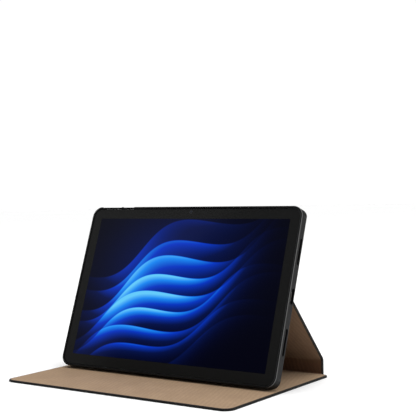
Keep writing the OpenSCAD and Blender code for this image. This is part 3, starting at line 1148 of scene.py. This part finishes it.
    def finish(self, finish: Finish, even: bool = True) -> bpy.types.Object:
        """Turns the bench's mesh into a finished piece of the case.

        Args:
            finish: What it is made of.
            even: Whether large faces keep their own normals next to small ones.

        Returns:
            The piece, at the origin with its place in its mesh.
        """
        piece = self.finish_stage(finish)
        piece.data.shade_smooth()
        piece.data.set_sharp_from_angle(angle=self.SHARP)
        if even:
            piece.modifiers.new("even_shading", "WEIGHTED_NORMAL").keep_sharp = True
        LOG.info("%s: %d faces", self.name, len(piece.data.polygons))
        return piece


def centre_of(node: str) -> Vector:
    """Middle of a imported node's box in millimetres."""
    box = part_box(node)
    return (box[0] + box[1]) / 2 / MM


def dress(node: str, finish: Finish) -> None:
    """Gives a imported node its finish.

    Args:
        node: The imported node.
        finish: What it is made of.
    """
    piece = frame["nodes"][node]
    if not piece.material_slots:
        piece.data.materials.append(None)
    for slot in piece.material_slots:
        slot.link = "OBJECT"
        slot.material = finish.material()
    LOG.info("%s: %s", node, finish.name)


# ---- The wrap: leather, boards and lining from the front cover to the back panel ----


@dataclass(frozen=True)
class Fold:
    """One soft fold of the wrap.

    Args:
        start: Where it starts along the flat wrap's outer face.
        length: Its length along the outer face.
        turn: How far it turns, positive when the lining is on the inside of the bend.
        steps: How many straight steps make the bend.
    """

    start: float
    length: float
    turn: float
    steps: int

    @property
    def rings(self) -> list[float]:
        """Places along the flat wrap where the bend turns."""
        return [self.start + self.length * (k + 0.5) / self.steps for k in range(self.steps)]

    @property
    def end(self) -> float:
        """Where the fold ends along the flat wrap."""
        return self.start + self.length


@dataclass
class Wrap:
    """The folding wrap, made flat as it was cut and then folded round.

    Args:
        bend_radii: Bend radius of the outer face at each of the three folds.
        bend_steps: Steps of the bend at each of them.
        bend_reach: How far the soft stretch reaches to each side of each fold line; not used.
        support: How far outside each fold a line of edges keeps the panels flat.
        step_r: Radius where the cover steps in to the spine.
        ear_r: Radius of the back panel's corners beside the crease.
        lip_h: Height of the turned leather edge.
        side_from: Height at which the edge's straight side starts.
        side_h: Height of that side.
        under_roll: Steps of its rounding below, each inwards and then outwards.
        over_roll: The same above.
        hem_dip: Depth of the step just inside the turned edge.
        back_lip_rise: How much higher the back panel's turned edge is.
        lining_gap: How far the lining stays inside the leather's edge.
        lining_roll: Steps of the rounding of the lining's upper edge.
        hole_r: Rounding of the camera hole's edge.
        folds: The three folds, from the cover to the back panel.
    """

    FLAT = "flat"

    bend_radii: tuple = (3.0, 7.0, 3.5)
    bend_steps: tuple = (12, 9, 10)
    bend_reach: tuple = (1.3, 2.2, 1.8)
    support: float = 0.7
    step_r: float = 0.9
    ear_r: float = 1.8
    lip_h: float = 1.9
    side_from: float = 0.6
    side_h: float = 0.85
    under_roll: tuple = ((0.08, 0.30), (0.22, 0.22), (0.30, 0.08), (0.35, 0.0))
    over_roll: tuple = ((0.06, 0.24), (0.15, 0.15), (0.24, 0.06), (0.24, 0.0))
    hem_dip: float = 0.09
    back_lip_rise: float = 0.4
    lining_gap: float = 1.0
    lining_roll: tuple = ((0.06, 0.13), (0.14, 0.07), (0.4, 0.0))
    hole_r: float = 0.22
    folds: list = field(default_factory=list)

    def __post_init__(self) -> None:
        """Works out where each fold lies on the flat wrap."""
        s = SIZES
        angles = s.panel_angles
        turns = [b - a for a, b in zip(angles, angles[1:])]
        corners = [Vector((0, -s.cover_d / 2, 0))]
        for hinge, turn, before in zip(s.fold_lines, turns, angles):
            middle = before + turn / 2
            outwards = Vector((0, math.sin(middle), -math.cos(middle)))
            corners.append(hinge + outwards * (s.fold_r / math.cos(turn / 2)))
        runs = [(b - a).length for a, b in zip(corners, corners[1:])]
        tangents = [r * math.tan(abs(t) / 2) for r, t in zip(self.bend_radii, turns)]
        place, spare = -s.cover_d / 2, 0.0
        for run, tangent, radius, turn, steps in zip(
            runs, tangents, self.bend_radii, turns, self.bend_steps
        ):
            place += run - spare - tangent
            self.folds.append(Fold(place, radius * abs(turn), turn, steps))
            place, spare = place + radius * abs(turn), tangent
        corner_up = s.crease_at + s.fold_r * math.tan(abs(turns[2]) / 2)
        self.far_end = place + s.tray_h - s.back_inset - corner_up - spare
        self.spine_middle = (self.folds[0].end + self.folds[1].start) / 2
        self.flap_middle = (self.folds[1].end + self.folds[2].start) / 2
        self.ear_start = self.folds[2].end + 0.25

    @staticmethod
    def mirrored(right: list[tuple[float, float, float]]) -> list[tuple[float, float, float]]:
        """Adds the left corners to an outline's right ones."""
        return right + [(-x, y, r) for x, y, r in reversed(right)]

    def leather_outline(self) -> list[tuple[float, float, float]]:
        """Works out how the leather is cut.

        Returns:
            Across, along and radius of each corner.
        """
        s = SIZES
        cover, strip, back = s.cover_w / 2, s.strip_w / 2, s.back_w / 2
        back_r = s.tray_r - s.back_inset
        return self.mirrored([
            (cover, -s.cover_d / 2, s.cover_front_r), (cover, s.cover_d / 2, s.cover_rear_r),
            (strip, s.cover_d / 2, self.step_r), (strip, self.ear_start, 0.5),
            (back, self.ear_start, self.ear_r), (back, self.far_end, back_r),
        ])

    def lining_outline(self) -> list[tuple[float, float, float]]:
        """Works out how the lining is cut.

        Returns:
            Across, along and radius of each corner.
        """
        s, gap = SIZES, self.lining_gap
        cover, strip = s.cover_w / 2 - gap, s.strip_w / 2 - gap
        return self.mirrored([
            (cover, gap - s.cover_d / 2, s.cover_front_r - gap),
            (cover, s.cover_d / 2 - gap, s.cover_rear_r - gap),
            (strip, s.cover_d / 2 - gap, self.step_r + gap),
            (strip, self.folds[2].end + 0.05, 0.4),
        ])

    def leather_sheet(self, name: str) -> Bench:
        """Makes the flat leather with its edges rolled up round the boards.

        Args:
            name: The piece's name.

        Returns:
            The bench with it.
        """
        bench = Bench(name)
        bench.outline(self.leather_outline())
        bench.thicken(self.side_h)
        bench.move(Matrix.Translation((0, 0, self.side_from)))
        bench.shape_face(-1, self.under_roll)
        bench.shape_face(1, self.over_roll)
        deep = self.lip_h - SIZES.skin_t
        bench.shape_face(1, [(0.05, -self.hem_dip), (0.02, self.hem_dip - deep), (0.3, 0.0)])
        return bench

    def lining_sheet(self, name: str) -> Bench:
        """Makes the flat lining.

        Args:
            name: The piece's name.

        Returns:
            The bench with it.
        """
        s = SIZES
        bench = Bench(name)
        bench.outline(self.lining_outline())
        bench.thicken(s.lining_t - sum(outwards for _, outwards in self.lining_roll))
        bench.shape_face(1, self.lining_roll)
        bench.move(Matrix.Translation((0, 0, s.panel_t - s.lining_t)))
        return bench

    def fold_up(self, bench: Bench) -> None:
        """Records each point's place on the flat wrap and folds the piece round.

        Args:
            bench: The flat piece.
        """
        cuts = [
            place for fold in self.folds
            for place in (fold.start - self.support, *fold.rings, fold.end + self.support)
        ]
        for place in sorted(cuts):
            bench.cut_across(place)
        bm, hair = bench.bm, 2e-3
        layer = bm.verts.layers.float_vector.new(self.FLAT)
        for vert in bm.verts:
            vert[layer] = vert.co * MM
        for fold in reversed(self.folds):
            half = Matrix.Rotation(fold.turn / fold.steps / 2, 3, "X")
            for ring in reversed(fold.rings):
                for start in (ring - hair, ring + hair):
                    beyond = [vert for vert in bm.verts if vert[layer].y > start * MM]
                    bmesh.ops.rotate(bm, cent=(0, ring, 0), matrix=half, verts=beyond)

    def build(self) -> None:
        """Makes the leather and the lining in three lengths each, one across each fold."""
        ends = (None, self.spine_middle, self.flap_middle, None)
        leather = (
            ("cover_leather", "cover_skin"), ("spine_leather", "spine_skin"),
            ("flap_leather", "flap_skin", "back_skin"),
        )
        lining = (
            ("cover_fabric", "cover_lining"), ("spine_fabric", "spine_lining"),
            ("flap_fabric", "flap_lining"),
        )
        for pieces, sheet, finish in (
            (leather, self.leather_sheet, Finishes.leather),
            (lining, self.lining_sheet, Finishes.lining),
        ):
            for k, (name, *nodes) in enumerate(pieces):
                bench = sheet(name)
                bench.keep_between(ends[k], ends[k + 1])
                if name == "flap_leather":
                    self.fit_back_panel(bench)
                self.fold_up(bench)
                piece = bench.finish(finish)
                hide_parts(*nodes)
                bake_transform(piece)
        for node in ("cover_board", "spine_board", "flap_board", "back_board"):
            dress(node, Finishes.board)
        dress("sleep_magnets", Finishes.magnet)
        dress("bonding_film", Finishes.film)

    def fit_back_panel(self, bench: Bench) -> None:
        """Raises the back panel's turned edges to the tray and opens the camera's hole.

        Args:
            bench: The flat leather of the flap and the back panel.
        """
        s = SIZES
        raised = self.side_from + self.side_h / 2
        edge = [v for v in bench.bm.verts if v.co.y > self.ear_start - 0.01 and v.co.z > raised]
        bmesh.ops.translate(bench.bm, vec=(0, 0, self.back_lip_rise), verts=edge)
        hole, radius, middle_z = Bench("camera_hole"), s.camera_hole_d / 2, s.skin_t / 2
        along = self.far_end - (s.tray_h - s.back_inset - s.camera_spot.y)
        centre = Vector((s.camera_spot.x, along, middle_z))
        bmesh.ops.create_cone(
            hole.bm, cap_ends=True, segments=ROUND_STEPS, radius1=radius, radius2=radius, depth=3.0,
            matrix=Matrix.Translation(centre),
        )
        bench.carve(hole)
        bench.soften(
            self.hole_r, 2, 60.0,
            lambda spot: abs((spot.xy - centre.xy).length - radius) < 0.1 and spot.z < middle_z,
        )


# ---- The tray ----


@dataclass
class Tray:
    """The hard tray that holds the tablet.

    Args:
        rim_r: Rounding along the rim's outer edge.
        edge_r: Rounding of every other sharp edge.
    """

    rim_r: float = 0.45
    edge_r: float = 0.16

    def build(self) -> None:
        """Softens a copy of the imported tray: first the rim, then the openings."""
        s = SIZES
        bench = Bench.from_node("moulded_tray", "tray_shell")
        bench.move(s.tray_frame.inverted())
        bench.soften(self.rim_r, 4, 35.0, self.on_outer_rim)
        bench.soften(self.edge_r)
        bench.move(s.tray_frame)
        piece = bench.finish(Finishes.tray)
        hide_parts("tray_shell")
        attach(piece, Body.TRAY.value)

    def on_outer_rim(self, middle: Vector) -> bool:
        """Whether an edge runs along the outside of the rim.

        Args:
            middle: The edge's middle in the tray's frame.

        Returns:
            True where it lies at the rim's height and on the tray's outline.
        """
        s = SIZES
        across = abs(middle.x) - (s.tray_w / 2 - s.tray_r)
        along = abs(middle.y - s.tray_h / 2) - (s.tray_h / 2 - s.tray_r)
        outside = math.hypot(max(across, 0), max(along, 0)) + min(max(across, along), 0)
        return middle.z > s.tray_t - 0.01 and outside > s.tray_r - 0.06


# ---- The tablet ----


@dataclass
class Tablet:
    """The tablet in the tray.

    Args:
        housing_r: Rounding of the housing's edges.
        glass_r: Rounding of the glass's edge.
        key_r: Rounding of the keys.
        barrel_r: Rounding of the rear camera's ring.
        lens_r: Radius of the rear camera's lens.
        lens_t: Its thickness at its middle.
        lens_crown: How much thinner it is at its rim.
        tongue: Size of the charging socket's contact tongue.
        tongue_shift: How far the tongue stands from the socket's middle, across.
        tongue_r: Rounding of the tongue's edges.
    """

    housing_r: float = 0.12
    glass_r: float = 0.34
    key_r: float = 0.4
    barrel_r: float = 0.3
    lens_r: float = 4.4
    lens_t: float = 0.27
    lens_crown: float = 0.12
    tongue: tuple = (5.6, 6.3, 0.7)
    tongue_shift: float = -0.6
    tongue_r: float = 0.2

    def build(self) -> None:
        """Makes the outside pieces and dresses the inner ones."""
        self.soft_copy("blasted_shell", "tablet_housing", Finishes.housing, self.housing_r, Body.TABLET)
        self.soft_copy("bordered_glass", "cover_glass", Finishes.glass, self.glass_r, Body.TABLET)
        self.soft_copy("power_button", "power_key", Finishes.key, self.key_r, Body.POWER_KEY)
        self.soft_copy("volume_rocker", "volume_key", Finishes.key, self.key_r, Body.VOLUME_KEY)
        self.soft_copy("camera_barrel", "rear_camera", Finishes.ring, self.barrel_r, Body.TABLET)
        self.lens_dome()
        self.socket_tongue()
        for node, finish in (
            ("display_panel", Finishes.picture), ("mid_plate", Finishes.plate),
            ("battery", Finishes.battery), ("mainboard", Finishes.circuit),
            ("speakers", Finishes.speaker), ("charging_port", Finishes.contact),
            ("front_camera", Finishes.lens), ("microphone", Finishes.contact),
            ("key_switches", Finishes.switches),
        ):
            dress(node, finish)

    def soft_copy(self, name: str, node: str, finish: Finish, width: float, body: Body) -> None:
        """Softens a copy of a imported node.

        Args:
            name: The new piece's name.
            node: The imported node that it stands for.
            finish: What it is made of.
            width: The rounding of its sharp edges.
            body: The body that it rides on.
        """
        bench = Bench.from_node(name, node)
        bench.soften(width, 3 if width > 0.2 else 2)
        piece = bench.finish(finish)
        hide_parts(node)
        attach(piece, body.value)

    def lens_dome(self) -> None:
        """Spins a shallow dome for the rear camera's lens."""
        bench = Bench("rear_glass")
        radius, half = self.lens_r, self.lens_t / 2
        profile = [bench.bm.verts.new((across, 0, up)) for across, up in (
            (0, half), (radius, half), (radius, self.lens_crown - half), (radius - 0.2, 0.08 - half),
            (radius * 0.6, 0.02 - half), (0, -half),
        )]
        edges = [bench.bm.edges.new(pair) for pair in zip(profile, profile[1:])]
        bmesh.ops.spin(
            bench.bm, geom=[*profile, *edges], cent=(0, 0, 0), axis=(0, 0, 1), dvec=(0, 0, 0),
            angle=2 * math.pi, steps=ROUND_STEPS, use_merge=True, use_duplicate=False,
        )
        bmesh.ops.remove_doubles(bench.bm, verts=bench.bm.verts, dist=bench.MERGE)
        bmesh.ops.recalc_face_normals(bench.bm, faces=bench.bm.faces)
        upright = Matrix.Rotation(SIZES.stand_angle, 4, "X")
        bench.move(Matrix.Translation(centre_of("rear_lens")) @ upright)
        piece = bench.finish(Finishes.rear_lens, even=False)
        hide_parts("rear_lens")
        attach(piece, Body.TABLET.value)

    def socket_tongue(self) -> None:
        """Puts the contact tongue into the charging socket."""
        bench = Bench("socket_tongue")
        bmesh.ops.create_cube(bench.bm, size=1.0)
        bmesh.ops.scale(bench.bm, vec=self.tongue, verts=bench.bm.verts)
        bench.soften(self.tongue_r)
        place = centre_of("charging_port") + Vector((self.tongue_shift, 0, 0))
        bench.move(Matrix.Translation(place) @ Matrix.Rotation(SIZES.stand_angle, 4, "X"))
        piece = bench.finish(Finishes.gold)
        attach(piece, Body.TABLET.value)


# ---- Studio ----


@dataclass(frozen=True)
class SoftBox:
    """One soft studio light.

    Args:
        name: Its name.
        spot: Where it stands, in metres.
        aim: What it points at, in metres.
        size: Its width and height in metres.
        power: Its power in watts.
    """

    name: str
    spot: tuple
    aim: tuple
    size: tuple
    power: float

    def build(self) -> None:
        """Adds the light."""
        lamp = bpy.data.lights.new(self.name, "AREA")
        lamp.shape, lamp.size, lamp.size_y = "RECTANGLE", *self.size
        lamp.energy = self.power
        made = bpy.data.objects.new(self.name, lamp)
        bpy.context.scene.collection.objects.link(made)
        made.location = self.spot
        made.rotation_euler = (Vector(self.aim) - Vector(self.spot)).to_track_quat("-Z", "Y").to_euler()


@dataclass(frozen=True)
class StageFloor(Finish):
    """Pale matt studio floor."""

    def paint(self, tree: ShaderTree) -> None:
        """A barely uneven white.

        Args:
            tree: The material's nodes.
        """
        mottle = tree.noise(tree.place(), 400.0, 2.0)
        tree.surface({
            "Base Color": tree.mix(mottle, (0.9, 0.9, 0.9), (0.93, 0.93, 0.93)),
            "Roughness": 0.75,
            "Specular IOR Level": 0.2,
        })


@dataclass
class Studio:
    """Floor, lights, world and camera.

    Args:
        eye: The camera's place in metres.
        yaw: How far it is turned from +Y towards -X, in degrees.
        pitch: How far it looks down, in degrees.
        roll: How far it leans, in degrees.
        lens: Its focal length in millimetres on a 36 mm sensor.
        card: Which way the edge of the pale card in front of the case faces.
        backdrop: How bright the backdrop looks.
        roof: How bright the tent's roof is.
        walls: How bright its walls are.
        dark: How much of that its front takes away.
        card_glow: How bright the card is.
        floor_r: Radius of the floor in millimetres.
        boxes: The soft lights.
    """

    eye: tuple = (0.5851, -0.7538, 0.1849)
    yaw: float = 35.151
    pitch: float = 1.106
    roll: float = 1.139
    lens: float = 84.68
    card: tuple = (-0.6296, 0.7379, 0.243)
    backdrop: float = 1.02
    roof: float = 1.86
    walls: float = 0.08
    dark: float = 0.84
    card_glow: float = 0.19
    floor_r: float = 9000.0
    boxes: tuple = (
        SoftBox("side_light", (2.1, 0.55, 1.0), (0, 0, 0.05), (0.8, 0.8), 12.0),
        SoftBox("top_light", (0.1, 0.6, 2.4), (0, 0.1, 0), (2.0, 2.0), 14.0),
    )

    def build(self) -> None:
        """Sets up everything round the case."""
        floor = Bench("floor")
        bmesh.ops.create_circle(floor.bm, cap_ends=True, segments=ROUND_STEPS, radius=self.floor_r)
        floor.finish_stage(StageFloor("studio_floor", ""))
        for box in self.boxes:
            box.build()
        self.world()
        self.camera()

    def world(self) -> None:
        """White backdrop for the eye; a tent that is bright above and dark in front for the light."""
        world = bpy.data.worlds.new("studio")
        bpy.context.scene.world = world
        tree = ShaderTree(world)
        way = tree.add("ShaderNodeTexCoord", {}, {}, "Generated")
        across, along, up = way.axes()
        roof = up.step(0.2, 0.95)
        front = (across * -0.66 - along * 0.75).step(0.0, 0.6) * up.step(0.9, 0.66)
        past = {0: way, 1: self.card}
        card = tree.add("ShaderNodeVectorMath", {"operation": "DOT_PRODUCT"}, past, "Value")
        tent = (roof * self.roof + self.walls) * (1 - front * self.dark)
        tent = tent + card.step(-0.004, 0.004) * front * self.card_glow
        seen = tree.add("ShaderNodeLightPath", {}, {}, "Is Camera Ray")
        soft = tree.add("ShaderNodeBackground", {}, {0: (1.0, 1.0, 1.0), 1: tent})
        white = tree.add("ShaderNodeBackground", {}, {0: (1.0, 1.0, 1.0), 1: self.backdrop})
        both = tree.add("ShaderNodeMixShader", {}, {0: seen, 1: soft, 2: white})
        tree.add("ShaderNodeOutputWorld", {}, {"Surface": both})

    def camera(self) -> None:
        """Adds the camera."""
        made = bpy.data.cameras.new("camera")
        made.sensor_width, made.lens = 36.0, self.lens
        made.clip_start, made.clip_end = 0.01, 50.0
        eye = bpy.data.objects.new("camera", made)
        bpy.context.scene.collection.objects.link(eye)
        eye.location = self.eye
        eye.rotation_euler = tuple(math.radians(a) for a in (90 - self.pitch, self.roll, self.yaw))
        bpy.context.scene.camera = eye
        bpy.context.scene.view_settings.view_transform = "Standard"


def main() -> None:
    """Builds the studio, then the case piece by piece."""
    logging.basicConfig(level=logging.INFO, format="%(name)s %(message)s")
    Studio().build()
    Wrap().build()
    Tray().build()
    Tablet().build()


if __name__ == "__main__":
    main()
